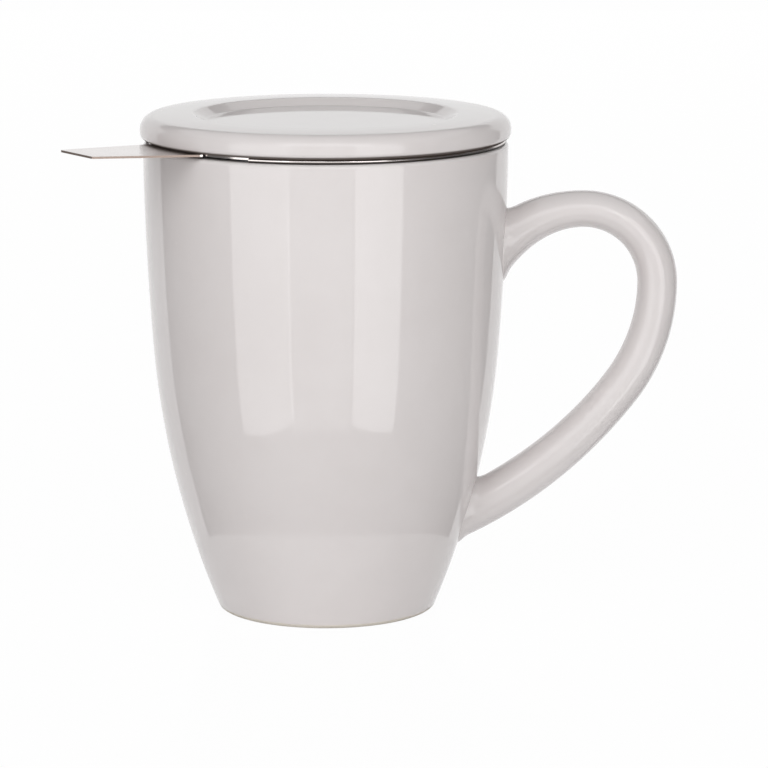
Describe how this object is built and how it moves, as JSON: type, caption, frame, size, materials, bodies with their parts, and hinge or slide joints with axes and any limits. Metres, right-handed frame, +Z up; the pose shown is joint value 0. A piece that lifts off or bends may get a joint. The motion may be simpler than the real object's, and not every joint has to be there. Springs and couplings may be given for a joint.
{
  "type": "lidded tea mug with infuser",
  "caption": "Tapered glazed tea mug with an ear-shaped handle, a lift-out perforated steel infuser with a grip tab, and a loose dished lid.",
  "frame": {"origin": "centre of the standing face, on the mug's axis", "axes": "+Z up along the mug's axis, +X towards the handle"},
  "size_m": [0.1423, 0.087, 0.1181],
  "materials": {
    "glaze": "glossy",
    "handle_glaze": "glossy",
    "lid_glaze": "glossy",
    "rim_steel": "satin",
    "wall_steel": "satin",
    "floor_steel": "satin"
  },
  "bodies": {
    "mug": {"mug_body": "glaze", "mug_handle": "handle_glaze"},
    "infuser": {"infuser_rim": "rim_steel", "infuser_wall": "wall_steel", "infuser_floor": "floor_steel"},
    "lid": {"lid": "lid_glaze"}
  },
  "joints": [
    {"name": "infuser_lift", "type": "slide", "parent": "mug", "child": "infuser", "axis": [0, 0, 1], "range_m": [0, 0.08]},
    {"name": "lid_lift", "type": "slide", "parent": "infuser", "child": "lid", "axis": [0, 0, 1], "range_m": [0, 0.04]}
  ]
}
